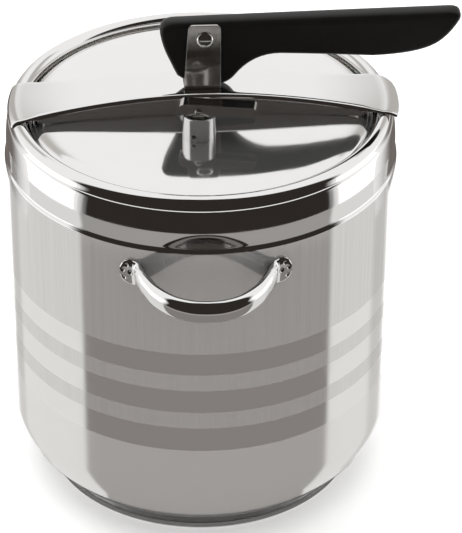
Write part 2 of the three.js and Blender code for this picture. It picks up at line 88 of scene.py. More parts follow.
VALVE_X, VALVE_Y = -2.5, -34
SEAT_HOLE, SAFETY_HOLE = 5.3, 4.4  # radii of the holes in the lid
TUBE_RADIUS = 9.15
TUBE_INNER_RADIUS = 7.65
TUBE_BASE_Z, TUBE_TOP_Z = LID_TOP_Z + 0.05, 243.4
FLIP_PIVOT_Z = 246.4
FLIP_TURN = -9.4  # degrees that the flip lever is turned from the bridge's line
SAFETY_X, SAFETY_Y = -2.5, 34

BRUSHED_METALLIC = 0.78  # the rest is light scattered by the scratches
HANDLE_TURN = -1.4
HANDLE_Z = 186.5
FINGER_ROOM_RADIUS = 120  # how far from the pot's axis the middle of a handle's opening is

CAMERA_AZIMUTH, CAMERA_TILT = -3, 90 - 33.27  # degrees
CAMERA_PLACE = -0.0715, -1.3649, 1.0181  # metres, as all of the studio below
MIRROR_SPREAD = 1.02  # the wall sends the near camera's rays this much wider than a far one's
DARK_SIDE = -80, 82  # compass angles of the unlit side of the studio, 0 in front
DARK_RADIUS, DARK_TOP = 1.25, 89
TABLE_EDGE_Y = -0.52
FRONT_SHADE = -37.5, 41.5  # compass angles on the wall that mirror the shaded front of the table
SIDE_LIGHT, SIDE_SHADE = (-66, 59), (-75, 71)  # where the light and the half-shaded table end, left and right
NEAR_REACH, FAR_REACH = 0.307, 0.38  # from the wall: the ends of the shaded table and of a paler strip
FOOT_INSET, SHADE_INSET = -0.013, -0.021  # how far the cards go in under the pot
CARD_LIFT = 0.0005  # cards stand just clear of the floor
SCREENS = {"left_screen": (-166, -122), "right_screen": (118, 162)}  # compass angles behind the pot
SCREEN_ROWS = (0.5, CARD_LIFT), (0.5, 0.7)  # radius and height
LOW_SCREENS = {"low_left_screen": (-176, -110), "low_right_screen": (106, 174)}
LOW_SCREEN_ROWS = (0.36, 2 * CARD_LIFT), (0.48, 2 * CARD_LIFT), (0.48, 0.17)


# ---------------------------------------------------------------- paths


def arc(cx, cy, radius, start, end, steps):
    """Points on an arc, angles in degrees, both ends included."""
    angles = [math.radians(start + (end - start) * i / steps) for i in range(steps + 1)]
    return [(cx + radius * math.cos(a), cy + radius * math.sin(a)) for a in angles]


def smooth(points, steps):
    """Catmull-Rom path through the points, both ends included."""
    points = [Vector(p) for p in points]
    path = []
    for i in range(len(points) - 1):
        a, b = points[max(i - 1, 0)], points[i]
        c, d = points[i + 1], points[min(i + 2, len(points) - 1)]
        for k in range(steps):
            t = k / steps
            bend = (2 * a - 5 * b + 4 * c - d) * t**2 + (3 * b - a - 3 * c + d) * t**3
            path.append(0.5 * (2 * b + (c - a) * t + bend))
    path.append(points[-1])
    return [tuple(p) for p in path]


def smoothstep(x, low, high):
    """Rises smoothly from 0 at low to 1 at high."""
    t = min(1, max(0, (x - low) / (high - low)))
    return t * t * (3 - 2 * t)


# ---------------------------------------------------------------- meshes


def finish_mesh(obj, angle=32):
    """Faces outward, smooth shading, sharp only where faces meet at more than the angle."""
    work = bmesh.new()
    work.from_mesh(obj.data)
    bmesh.ops.remove_doubles(work, verts=work.verts, dist=1e-7)
    bmesh.ops.recalc_face_normals(work, faces=work.faces)
    work.to_mesh(obj.data)
    work.free()
    obj.data.shade_smooth()
    obj.data.set_sharp_from_angle(angle=math.radians(angle))
    return obj


def new_mesh(name, points, faces):
    """Object from points in millimetres and faces of their numbers."""
    mesh = bpy.data.meshes.new(name)
    mesh.from_pydata([tuple(c * MM for c in p) for p in points], [], faces)
    obj = bpy.data.objects.new(name, mesh)
    SCENE.collection.objects.link(obj)
    return finish_mesh(obj)


def turned(name, profile, at=(0, 0), segments=SMALL_SEGMENTS, closed=False):
    """Turned about +Z from (radius, height) points; a ring's profile closes on itself."""
    points, rings = [], []
    for r, z in profile:
        count = 1 if r < 1e-6 else segments
        rings.append(range(len(points), len(points) + count))
        turns = [2 * math.pi * k / segments for k in range(count)]
        points += [(at[0] + r * math.cos(a), at[1] + r * math.sin(a), z) for a in turns]
    pairs = list(zip(rings, rings[1:])) + ([(rings[-1], rings[0])] if closed else [])
    faces = []
    for low, high in pairs:
        for k in range(segments):
            corners = [low[k % len(low)], low[(k + 1) % len(low)]]
            corners += [high[(k + 1) % len(high)], high[k % len(high)]]
            face = list(dict.fromkeys(corners))
            if len(face) > 2:
                faces.append(face)
    return new_mesh(name, points, faces)


def loft(name, rings):
    """Closed skin through rings of points, capped at both ends."""
    count = len(rings[0])
    points = [p for ring in rings for p in ring]
    faces = [list(range(count)), list(range(len(points) - count, len(points)))]
    for i in range(len(rings) - 1):
        a, b = i * count, (i + 1) * count
        faces += [[a + k, a + (k + 1) % count, b + (k + 1) % count, b + k] for k in range(count)]
    return new_mesh(name, points, faces)


def plate(name, outline, y0, y1):
    """Plate drawn in X and Z, standing between y0 and y1."""
    return loft(name, [[(x, y, z) for x, z in outline] for y in (y0, y1)])


def box(x0, x1, y0, y1, z0, z1):
    return plate("box", [(x0, z0), (x1, z0), (x1, z1), (x0, z1)], y0, y1)


def rod_along_y(name, profile, x, z, y=0, segments=SMALL_SEGMENTS):
    """Turned about a line along Y through x and z, from (radius, distance along the line) points."""
    obj = turned(name, profile, segments=segments)
    place = Matrix.Translation(Vector((x, y, z)) * MM) @ Matrix.Rotation(math.pi / 2, 4, "X")
    obj.data.transform(place)
    return obj


def bar_along_y(radius, length, x, z, y=0):
    return rod_along_y("bar", [(0, -length), (radius, -length), (radius, length), (0, length)], x, z, y)


def evaluated(obj):
    graph = bpy.context.evaluated_depsgraph_get()
    return bpy.data.meshes.new_from_object(obj.evaluated_get(graph))


def cut(obj, *cutters):
    """Takes the cutters out of obj, and removes them."""
    for cutter in cutters:
        modifier = obj.modifiers.new("cut", "BOOLEAN")
        modifier.operation = "DIFFERENCE"
        modifier.solver = "EXACT"
        modifier.object = cutter
    mesh = evaluated(obj)
    obj.modifiers.clear()
    obj.data = mesh
    for cutter in cutters:
        bpy.data.objects.remove(cutter)
    return finish_mesh(obj)


def join(obj, other):
    """Adds the other's mesh to obj."""
    work = bmesh.new()
    work.from_mesh(obj.data)
    work.from_mesh(other.data)
    work.to_mesh(obj.data)
    work.free()
    bpy.data.objects.remove(other)
    return finish_mesh(obj)


def rounded_edges(obj, width, segments=3, angle=40):
    modifier = obj.modifiers.new("rounded_edges", "BEVEL")
    modifier.width = width * MM
    modifier.segments = segments
    modifier.limit_method = "ANGLE"
    modifier.angle_limit = math.radians(angle)
    modifier.harden_normals = True
    return obj


def rounded_plate(name, outlines, half_thickness, rounding):
    """Plate drawn in X and Z about y = 0 with rounded edges; outlines after the first are holes."""
    curve = bpy.data.curves.new(name, "CURVE")
    curve.dimensions = "2D"
    curve.fill_mode = "BOTH"
    curve.extrude = (half_thickness - rounding) * MM
    curve.bevel_depth = rounding * MM
    curve.bevel_resolution = 3
    curve.offset = -rounding * MM
    for outline in outlines:
        spline = curve.splines.new("POLY")
        spline.points.add(len(outline) - 1)
        for point, (x, z) in zip(spline.points, outline):
            point.co = (x * MM, z * MM, 0, 1)
        spline.use_cyclic_u = True
    drawn = bpy.data.objects.new(name + "_curve", curve)
    SCENE.collection.objects.link(drawn)
    mesh = evaluated(drawn)
    mesh.transform(Matrix.Rotation(math.pi / 2, 4, "X"))
    bpy.data.objects.remove(drawn)
    obj = bpy.data.objects.new(name, mesh)
    SCENE.collection.objects.link(obj)
    return finish_mesh(obj)


# ---------------------------------------------------------------- materials


def new_material(name):
    material = bpy.data.materials.new(name)
    material.use_nodes = True
    tree = material.node_tree
    return material, tree, tree.nodes["Principled BSDF"]


def noise(tree, scale, stretch=(1, 1, 1), detail=3):
    """Noise over the object's own place, in features of 1/scale metres; a small stretch draws it out."""
    place = tree.nodes.new("ShaderNodeTexCoord")
    mapping = tree.nodes.new("ShaderNodeMapping")
    texture = tree.nodes.new("ShaderNodeTexNoise")
    mapping.inputs["Scale"].default_value = stretch
    texture.inputs["Scale"].default_value = scale
    texture.inputs["Detail"].default_value = detail
    tree.links.new(place.outputs["Object"], mapping.inputs["Vector"])
    tree.links.new(mapping.outputs["Vector"], texture.inputs["Vector"])
    return texture.outputs["Fac"]


def spread(tree, value, low, high):
    """The value's middle range drawn out between low and high."""
    node = tree.nodes.new("ShaderNodeMapRange")
    node.inputs["From Min"].default_value = 0.3
    node.inputs["From Max"].default_value = 0.7
    node.inputs["To Min"].default_value = low
    node.inputs["To Max"].default_value = high
    tree.links.new(value, node.inputs["Value"])
    return node.outputs["Result"]


def tint(tree, value, first, second):
    """Colour between first and second by the value."""
    node = tree.nodes.new("ShaderNodeMix")
    node.data_type = "RGBA"
    node.inputs["A"].default_value = (*first, 1)
    node.inputs["B"].default_value = (*second, 1)
    tree.links.new(value, node.inputs["Factor"])
    return node.outputs["Result"]


def bump(tree, shader, height, distance, strength=1):
    node = tree.nodes.new("ShaderNodeBump")
    node.inputs["Distance"].default_value = distance * MM
    node.inputs["Strength"].default_value = strength
    tree.links.new(height, node.inputs["Height"])
    tree.links.new(node.outputs["Normal"], shader.inputs["Normal"])


def shaded(color, amount):
    return tuple(c * amount for c in color)


def polished_steel(name, color=(0.84, 0.83, 0.82), roughness=0.045, haze=0):
    """Mirror finish with the faint waviness of pressed sheet; haze is the share of light that it scatters."""
    material, tree, shader = new_material(name)
    shader.inputs["Metallic"].default_value = 1 - haze
    cloud = noise(tree, 35)
    tree.links.new(spread(tree, cloud, roughness * 0.7, roughness * 1.4), shader.inputs["Roughness"])
    tree.links.new(tint(tree, noise(tree, 60), shaded(color, 0.97), color), shader.inputs["Base Color"])
    bump(tree, shader, noise(tree, 22, detail=1), 0.04)
    return material


def brushed_steel(name, color, roughness, anisotropy, streaks):
    """Steel rubbed round the pot: reflections run up and down, with fine upright streaks."""
    material, tree, shader = new_material(name)
    shader.inputs["Metallic"].default_value = BRUSHED_METALLIC
    shader.inputs["Anisotropic"].default_value = anisotropy
    shader.inputs["Anisotropic Rotation"].default_value = 0.25
    tangent = tree.nodes.new("ShaderNodeTangent")
    tangent.direction_type = "RADIAL"
    tangent.axis = "Z"
    tree.links.new(tangent.outputs["Tangent"], shader.inputs["Tangent"])
    upright = noise(tree, 650, (1, 1, 0.01), 2)
    around = noise(tree, 900, (0.02, 0.02, 1), 2)
    rough = spread(tree, upright, roughness * (1 - streaks), roughness * (1 + streaks))
    tree.links.new(rough, shader.inputs["Roughness"])
    tree.links.new(tint(tree, upright, shaded(color, 1 - streaks * 0.5), color), shader.inputs["Base Color"])
    bump(tree, shader, around, 0.0012)
    return material


def machined_steel():
    """Small turned steel parts: duller, with tool marks round them."""
    material, tree, shader = new_material("machined_steel")
    shader.inputs["Metallic"].default_value = 1
    marks = noise(tree, 1800, (0.15, 0.15, 1), 2)
    color = (0.62, 0.615, 0.6)
    tree.links.new(spread(tree, marks, 0.24, 0.4), shader.inputs["Roughness"])
    tree.links.new(tint(tree, noise(tree, 250), shaded(color, 0.85), color), shader.inputs["Base Color"])
    bump(tree, shader, marks, 0.01)
    return material


def base_aluminium():
    material, tree, shader = new_material("base_aluminium")
    shader.inputs["Metallic"].default_value = 1
    grain = noise(tree, 500)
    color = (0.7, 0.705, 0.71)
    tree.links.new(spread(tree, grain, 0.42, 0.6), shader.inputs["Roughness"])
    tree.links.new(tint(tree, grain, shaded(color, 0.9), color), shader.inputs["Base Color"])
    bump(tree, shader, grain, 0.02)
    return material


def black_bakelite():
    """Pressed phenolic: near black, satin, with a fine pebbled skin and faint rubbed patches."""
    material, tree, shader = new_material("black_bakelite")
    patches = noise(tree, 70)
    shader.inputs["Specular IOR Level"].default_value = 0.22
    tree.links.new(spread(tree, patches, 0.28, 0.38), shader.inputs["Roughness"])
    rubbed = tint(tree, patches, (0.004, 0.0036, 0.0033), (0.008, 0.0073, 0.0067))
    tree.links.new(rubbed, shader.inputs["Base Color"])
    bump(tree, shader, noise(tree, 1400, detail=2), 0.012)
    return material


def silicone():
    material, tree, shader = new_material("silicone")
    mottle = noise(tree, 180)
    shader.inputs["Subsurface Weight"].default_value = 0.15
    shader.inputs["Subsurface Scale"].default_value = 0.002
    tree.links.new(spread(tree, mottle, 0.5, 0.65), shader.inputs["Roughness"])
    tree.links.new(tint(tree, mottle, (0.55, 0.53, 0.49), (0.64, 0.62, 0.58)), shader.inputs["Base Color"])
    bump(tree, shader, mottle, 0.02)
    return material


def pale_floor():
    material, tree, shader = new_material("pale_floor")
    fine = noise(tree, 90)
    shader.inputs["Specular IOR Level"].default_value = 0.1
    tree.links.new(spread(tree, fine, 0.7, 0.85), shader.inputs["Roughness"])
    tree.links.new(tint(tree, fine, (0.93, 0.93, 0.93), (0.95, 0.95, 0.95)), shader.inputs["Base Color"])
    shader.inputs["Emission Color"].default_value = (1, 1, 1, 1)
    shader.inputs["Emission Strength"].default_value = 0.2
    return material


def glow(name, color):
    material = bpy.data.materials.new(name)
    material.use_nodes = True
    tree = material.node_tree
    tree.nodes.clear()
    emission = tree.nodes.new("ShaderNodeEmission")
    output = tree.nodes.new("ShaderNodeOutputMaterial")
    emission.inputs["Color"].default_value = (*color, 1)
    tree.links.new(emission.outputs["Emission"], output.inputs["Surface"])
    return material


def fading_glow(name, color, start, ends=(1, 1, 1)):
    """Glow that fades to another colour from a share of the way to its card's ends."""
    material = glow(name, color)
    tree = material.node_tree
    edge = tree.nodes.new("ShaderNodeAttribute")
    edge.attribute_name = "edge"
    fade = tree.nodes.new("ShaderNodeMapRange")
    fade.interpolation_type = "SMOOTHSTEP"
    fade.inputs["From Min"].default_value = start
    tree.links.new(edge.outputs["Fac"], fade.inputs["Value"])
    mixed = tint(tree, fade.outputs["Result"], color, ends)
    tree.links.new(mixed, tree.nodes["Emission"].inputs["Color"])
    return material


POLISHED = polished_steel("polished_steel")
BAND_STEEL = polished_steel("band_steel", (0.9, 0.885, 0.87), 0.1)
WALL_STEEL = brushed_steel("wall_steel", (0.72, 0.705, 0.69), 0.085, 0.45, 0.26)
FOOT_STEEL = brushed_steel("foot_steel", (0.8, 0.785, 0.77), 0.16, 0.4, 0.05)
LID_STEEL = polished_steel("lid_steel", roughness=0.07, haze=0.045)
DULL_STEEL = polished_steel("dull_steel", (0.62, 0.6, 0.58), 0.12)
# near-black steel for the handles' inner faces: painted shade
INNER_SHADE_STEEL = polished_steel("handle_inner_painted_shade", (0.2, 0.19, 0.185), 0.2)
TUBE_STEEL = polished_steel("tube_steel", roughness=0.22, haze=0.06)
MACHINED = machined_steel()
ALUMINIUM = base_aluminium()
BAKELITE = black_bakelite()
SILICONE = silicone()


def piece(obj, materials, body, slot, *nodes):
    """Gives the piece its materials, and has it ride on a body and stand for CAD nodes."""
    obj.data.materials.clear()
    for material in materials if isinstance(materials, tuple) else (materials,):
        obj.data.materials.append(material)
    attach(obj, body)
    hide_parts(*nodes)
    return obj


# ---------------------------------------------------------------- pot


def pot_profile():
    """Up the outside, over the rolled rim and down the inside."""
    corner_r = POT_RADIUS - CORNER_RADIUS
    corner_z = FLOOR_Z + CORNER_RADIUS
    outside = [(0, FLOOR_Z)]
    outside += arc(corner_r, corner_z, CORNER_RADIUS, -90, 0, 24)
    outside += [(POT_RADIUS, z) for band in reversed(POLISHED_BANDS) for z in band]
    outside += [(POT_RADIUS, 160), (POT_RADIUS, WALL_TOP_Z)]
    step = [(POT_RADIUS, COLLAR_Z), (109.98, 201.2), (109.85, 201.6)]
    step += [(109.2, 202.7), (109.02, 203.2), (108.97, 204)]
    outside += smooth([(POT_RADIUS, WALL_TOP_Z), *step], 4)[1:]
    dome = [(108.97, 209.5), (108.85, 214.5), (108.55, 218.5)]
    dome += [(108.15, 222), (107.75, 224.4), (107.35, 225.6)]
    outside += smooth([step[-1], *dome], 6)[1:] + [(106.9, 225.85), (106.72, 226.2)]
    outside += arc(BEAD_R, BEAD_Z - BEAD_SWELL, BEAD_RADIUS + BEAD_SWELL, 8, 90, 12)
    outside += arc(BEAD_R, BEAD_Z, BEAD_RADIUS, 90, 215, 14)[1:]
    inside = arc(BEAD_R, BEAD_Z, BEAD_RADIUS - POT_WALL, 215, -20, 16)
    inside += smooth([(104.2, 225.4), (105.6, 221.6), (106.8, 217.7), (107.5, 213.8), (107.8, 209)], 4)
    inside += [(107.8, 202.4), (POT_RADIUS - POT_WALL, 199.8)]
    inside += arc(corner_r, corner_z, CORNER_RADIUS - POT_WALL, 0, -90, 16)
    return outside + inside + [(0, FLOOR_Z + POT_WALL)]


def finish_number(centre):
    """Which of the pot's finishes a face has: 0 rubbed wall, 1 mirror, 2 soft bands, 3 foot and inside."""
    z = centre.z / MM
    inside_radius = POT_RADIUS - 0.95
    if math.hypot(centre.x, centre.y) / MM < inside_radius and z < COLLAR_Z:
        return 3
    if z > COLLAR_Z:
        return 1
    if any(low < z < high for low, high in POLISHED_BANDS):
        return 2
    return 3 if z < POLISHED_BANDS[-1][0] else 0


def pot_shell():
    obj = turned("pot_shell_surface", pot_profile(), segments=SEGMENTS)
    for face in obj.data.polygons:
        face.material_index = finish_number(face.center)
    numbers = [face.material_index for face in obj.data.polygons]
    piece(obj, (WALL_STEEL, POLISHED, BAND_STEEL, FOOT_STEEL), "pot", "brushed_steel", "pot_shell")
    obj.data.polygons.foreach_set("material_index", numbers)


def base_cap():
    skin = 0.6
    profile = [(0, 0), *arc(BASE_RADIUS - 1.5, 1.5, 1.5, -90, 0, 6), (BASE_RADIUS, BASE_HEIGHT)]
    profile += [(BASE_RADIUS - skin, BASE_HEIGHT), *arc(BASE_RADIUS - 1.8, 1.8, 1.2, 0, -90, 4), (0, skin)]
    obj = turned("base_cap_surface", profile, segments=SEGMENTS)
    piece(obj, FOOT_STEEL, "pot", "brushed_steel", "base_cap")


# ---------------------------------------------------------------- side handles


def wall_point(degrees, radius):
    """Place in plan at an angle from the front of the pot."""
    a = math.radians(degrees)
    return radius * math.sin(a), -radius * math.cos(a)


def handle_route():
    """Half of the handle's centreline in plan, from the flange's end to the middle of the grip."""
    flange = [wall_point(*p) for p in ((24.3, 111.2), (22.2, 111.2), (20.2, 111.4), (18.7, 112.6))]
    return flange + [(33.7, -113.4), (31.2, -119.5), (26.6, -128), (18, -137.2), (8.5, -141.9), (0, -143)]


def spot_welds(turn):
    """Balls that press dimples in a handle's two flanges."""
    radius, centre_radius = 1.9, 113.1
    places = (23.1, -3.6), (23.4, 1.2), (22.3, 4.6), (21.2, 0.4)
    balls = []
    for side in (-1, 1):
        for degrees, height in places:
            x, y = wall_point(side * degrees, centre_radius)
            ball = turned("ball", [(0, -radius), *arc(0, 0, radius, -75, 75, 8), (0, radius)], segments=16)
            ball.data.transform(Matrix.Translation(Vector((x, y, HANDLE_Z + height)) * MM))
            ball.data.transform(Matrix.Rotation(turn, 4, "Z"))
            balls.append(ball)
    return balls


def side_handle(name, degrees):
    """Flattened ends on the wall and an oval bar between them, mirror polished, with painted shade on the
    faces toward the finger room.
    """
    pad_half_height, bar_half_height = 7.75, 6.5
    pad_half_thickness, bar_half_thickness = 0.85, 3.3
    half = smooth(handle_route(), 9)
    route = [(-x, y) for x, y in half] + half[-2::-1]
    lengths = [0]
    for (ax, ay), (bx, by) in zip(route, route[1:]):
        lengths.append(lengths[-1] + math.hypot(bx - ax, by - ay))
    rings = []
    for i, (x, y) in enumerate(route):
        before, after = route[max(i - 1, 0)], route[min(i + 1, len(route) - 1)]
        along = Vector((after[0] - before[0], after[1] - before[1])).normalized()
        from_end = min(lengths[i], lengths[-1] - lengths[i])
        bar = smoothstep(from_end, 5, 15)
        end = math.sqrt(1 - (1 - min(1, (from_end + 0.5) / 6.5)) ** 2)
        tall = (pad_half_height + (bar_half_height - pad_half_height) * bar) * end
        thick = pad_half_thickness + (bar_half_thickness - pad_half_thickness) * bar
        ring = []
        for k in range(24):
            a = 2 * math.pi * k / 24
            across = thick * math.copysign(abs(math.cos(a)) ** 0.9, math.cos(a))
            ring.append((x - along.y * across, y + along.x * across, HANDLE_Z + tall * math.sin(a)))
        rings.append(ring)
    obj = loft(name + "_surface", rings)
    turn = math.radians(degrees)
    obj.data.transform(Matrix.Rotation(turn, 4, "Z"))
    cut(obj, *spot_welds(turn))
    finger_room = Matrix.Rotation(turn, 3, "Z") @ Vector((0, -FINGER_ROOM_RADIUS, HANDLE_Z)) * MM
    facing = 0.35  # least cosine toward the finger room that makes a face an inner one
    inner = [face.normal.dot((finger_room - face.center).normalized()) > facing for face in obj.data.polygons]
    # the inner faces take the near-black steel, which is painted shade
    piece(obj, (POLISHED, INNER_SHADE_STEEL), "pot", "polished_steel", name)
    obj.data.polygons.foreach_set("material_index", inner)


# ---------------------------------------------------------------- bridge


def bridge_half_width(s):
    """Half the width at a distance along the bridge from its middle."""
    return BRIDGE_HALF_WIDTH + BRIDGE_FLARE * min(1, abs(s) / BEAD_R) ** 2


def bridge_top_z(s):
    """Height of the arch's top at a distance from its middle."""
    return BRIDGE_TOP_Z - (BRIDGE_TOP_Z - BRIDGE_END_Z) * min(1, abs(s) / BEAD_R) ** 1.8


def bridge_half_section(s):
    """From the bridge's middle to its flange's edge: y, height, and the normal in those two."""
    width = bridge_half_width(s)
    lip = 1.5
    depth = lip + (bridge_top_z(s) - FLANGE_BOTTOM_Z - lip) * (1 - smoothstep(abs(s), 86, 96))
    bend = min(BRIDGE_BEND, depth)
    flat = [((width - bend) * k / 8, 0, 0, 1) for k in range(1, 8)]
    turn = []
    for k in range(9):
        a = math.radians(90 * k / 8)
        out, up = math.sin(a), math.cos(a)
        turn.append((width - bend + bend * out, bend * up - bend, out, up))
    return flat + turn + [(width, -depth - 0.01, 1, 0)]


def bridge_station(s):
    """Place along the bridge, following its arch and then the bend over the rim: x, z, tilt."""
    side = math.copysign(1, s)
    past = abs(s) - BEAD_R
    if past <= 0:
        return s, bridge_top_z(s), 0
    radius = BRIDGE_HOOKS[int(side)][0]
    angle = past / radius
    x = BEAD_R + radius * math.sin(angle)
    drop = radius * (1 - math.cos(angle))
    return side * x, BRIDGE_END_Z - drop, side * angle


def bridge_stations():
    """Distances along the bridge at which it is drawn, from its left end to its right end."""
    ends = {side: BEAD_R + math.radians(angle) * radius for side, (radius, angle) in BRIDGE_HOOKS.items()}
    left = [-ends[-1] + (ends[-1] - BEAD_R) * k / 10 for k in range(10)]
    middle = [-BEAD_R + 3 * k for k in range(69)]
    right = [BEAD_R + (ends[1] - BEAD_R) * k / 10 for k in range(1, 11)]
    return left + middle + right


def bridge():
    stations = bridge_stations()
    outer, inner = [], []
    for s in stations:
        x, z, tilt = bridge_station(s)
        half = bridge_half_section(s)
        section = [(-y, h, -ny, nz) for y, h, ny, nz in reversed(half)] + [(0, 0, 0, 1)] + half
        pull = smoothstep(abs(s), 80, BEAD_R) / (2 * BEAD_R)
        # the back corner of the right end is cut round
        corner_start = stations[-1] - BRIDGE_BACK_CORNER
        into = max(0, s - corner_start) / BRIDGE_BACK_CORNER
        shrink = BRIDGE_BACK_CORNER * (1 - math.sqrt(max(0, 1 - into**2))) * 0.9
        width = bridge_half_width(s)

        def place(y, h):
            y = y * (width - shrink) / width if y > 0 else y
            along = x - math.copysign(1, s) * y * y * pull
            return along + h * math.sin(tilt), y, z + h * math.cos(tilt)

        sheet = BRIDGE_THICKNESS
        outer.append([place(y, h) for y, h, _, _ in section])
        inner.append([place(y - ny * sheet, h - nz * sheet) for y, h, ny, nz in section])
    rings = [top + under[::-1] for top, under in zip(outer, inner)]
    obj = loft("bridge_surface", rings)
    slots = []
    for side in (-1, 1):
        y0, y1 = sorted((side * (STRAP_INNER_Y - 0.4), side * (STRAP_OUTER_Y + 0.4)))
        slots.append(box(STRAP_LEFT - 0.6, STRAP_RIGHT + 0.6, y0, y1, BRIDGE_TOP_Z - 7.2, BRIDGE_TOP_Z + 6.8))
    cut(obj, *slots)
    rounded_edges(obj, 0.22, 2, 50)
    piece(obj, POLISHED, "bridge", "polished_steel", "bridge")


# ---------------------------------------------------------------- lid


def lid_disc():
    """Flat in the middle, rounded down near its edge to the rim that carries the gasket."""
    slope = [(60, 0), (70, 0.08), (77, 0.2), (84, 0.5), (90, 1.1)]
    slope += [(94, 2.3), (96.6, 4.2), (98.2, 6.4), (99.6, 7.9)]
    top = [(0, LID_TOP_Z), (30, LID_TOP_Z)] + [(r, LID_TOP_Z - z) for r, z in smooth(slope, 6)]
    top += [(100.4, LID_RIM_Z), *arc(LID_RADIUS - 0.5, LID_RIM_Z - 0.5, 0.5, 90, -90, 6)]
    under = []
    for (ax, az), (bx, bz) in zip(top[:-7], top[1:-6]):
        length = math.hypot(bx - ax, bz - az)
        under.append((ax + (bz - az) * LID_THICKNESS / length, az - (bx - ax) * LID_THICKNESS / length))
    under[0] = (0, LID_TOP_Z - LID_THICKNESS)
    obj = turned("lid_disc_surface", top + under[::-1], segments=SEGMENTS)
    holes = [((VALVE_X, VALVE_Y), SEAT_HOLE), ((SAFETY_X, SAFETY_Y), SAFETY_HOLE)]
    cut(obj, *[turned("drill", [(0, 200), (r, 200), (r, 240), (0, 240)], at=at) for at, r in holes])
    piece(obj, LID_STEEL, "lid", "polished_steel", "lid_disc")


def lid_gasket():
    """Ring with a groove for the lid's edge; its upper lip lies under the pot's rim."""
    top = BEAD_Z - 2.8
    under = LID_RIM_Z - LID_THICKNESS - GAP
    lips = [(98.6, under - 2.1), (105.2, under - 2.1), (105.2, LID_RIM_Z - 0.4), (103.4, top), (98.4, top)]
    groove = [(100.3, LID_RIM_Z + GAP), (LID_RADIUS + GAP, LID_RIM_Z + GAP)]
    groove += [(LID_RADIUS + GAP, under), (98.6, under)]
    obj = turned("lid_gasket_surface", lips + groove, segments=SEGMENTS, closed=True)
    rounded_edges(obj, 0.25, 2)
    piece(obj, SILICONE, "lid", "silicone", "lid_gasket")


def strap(name, side):
    corner = 2.8
    foot_width, foot_height = 4, 1.4
    top, foot = STRAP_TOPS[side], LID_TOP_Z + GAP
    outline = [(STRAP_LEFT, foot), (STRAP_RIGHT, foot)]
    outline += arc(STRAP_RIGHT - corner, top - corner, corner, 0, 90, 10)
    outline += arc(STRAP_TOP_LEFT + corner, top - corner, corner, 90, 180, 10) + [(STRAP_LEFT, STRAP_TAPER_Z)]
    obj = plate(name + "_surface", outline, side * STRAP_INNER_Y, side * STRAP_OUTER_Y)
    cut(obj, bar_along_y(PIN_RADIUS + GAP, 30, PIVOT_X, PIVOT_Z))
    y0, y1 = sorted((side * (STRAP_OUTER_Y - 0.05), side * (STRAP_OUTER_Y + foot_width)))
    join(obj, box(STRAP_LEFT, STRAP_RIGHT, y0, y1, foot, foot + foot_height))
    rounded_edges(obj, 0.3, 3)
    piece(obj, DULL_STEEL, "lid", "polished_steel", name)


def lever_pin():
    face = STRAP_OUTER_Y + GAP
    crown = (0, 1.8), (2.2, 1.75), (3.2, 1.45), (4, 1), (4.5, 0.4), (4.5, 0)
    head = [(r, face + proud) for r, proud in crown]
    profile = head + [(PIN_RADIUS, face), (PIN_RADIUS, -face)] + [(r, -y) for r, y in reversed(head)]
    obj = rod_along_y("lever_pin_surface", profile, PIVOT_X, PIVOT_Z)
    piece(obj, POLISHED, "lid", "polished_steel", "lever_pin")


# ---------------------------------------------------------------- lever


def cam_point(degrees):
    """Point of the cam that stands on the bridge when the lever has been raised by that angle."""
    a = math.radians(degrees)
    height = PIVOT_Z - BRIDGE_TOP_Z - GAP - CAM_DROP_PER_RADIAN * a
    side = CAM_DROP_PER_RADIAN
    return -height * math.sin(a) + side * math.cos(a), -height * math.cos(a) - side * math.sin(a)


def follow(outline, bends):
    """Draws the outline on through bends, each a control point and the point that it leads to."""
    for (bx, bz), (cx, cz) in bends:
        ax, az = outline[-1]
        for k in range(1, 9):
            t = k / 8
            u = 1 - t
            x = u * u * ax + 2 * u * t * bx + t * t * cx
            z = u * u * az + 2 * u * t * bz + t * t * cz
            outline.append((x, z))


def lever_outline():
    """Outline about the pin: the cam, the underside of the grip, its tip, the top and the heel."""
    outline = [(-24.3, 2)]
    heel = [((-23.2, -5.5), (-20.4, -12)), ((-18.8, -15.6), (-16.9, -20.2))]
    grip = [
        ((12, -30.4), (16.4, -25.2)),
        ((26.4, -11.4), (41.8, -11.7)),
        ((66, -12.7), (92.6, -14.6)),
        ((117.4, -14.2), (127.6, -8)),
        ((135, -3.2), (140.2, 6.6)),
        ((142.6, 12.2), (134, 12.2)),
        ((60, 11), (-16, 9.3)),
        ((-24.6, 9.2), (-24.3, 2)),
    ]
    follow(outline, heel)
    outline += [cam_point(40 - 4 * k) for k in range(11)]
    follow(outline, grip)
    return outline[1:]


def lever_handle():
    bush_wall = 2.1
    bore = arc(0, 0, PIN_RADIUS + bush_wall, 0, 352.5, 47)
    obj = rounded_plate("lever_handle_surface", [lever_outline(), bore], LEVER_HALF_THICKNESS, LEVER_ROUNDING)
    obj.data.transform(Matrix.Translation((PIVOT_X * MM, 0, PIVOT_Z * MM)))
    piece(obj, BAKELITE, "lever", "black_bakelite", "lever_handle")


# ---------------------------------------------------------------- pressure valve


def at_valve(obj):
    obj.data.transform(Matrix.Translation((VALVE_X * MM, VALVE_Y * MM, 0)))
    return obj


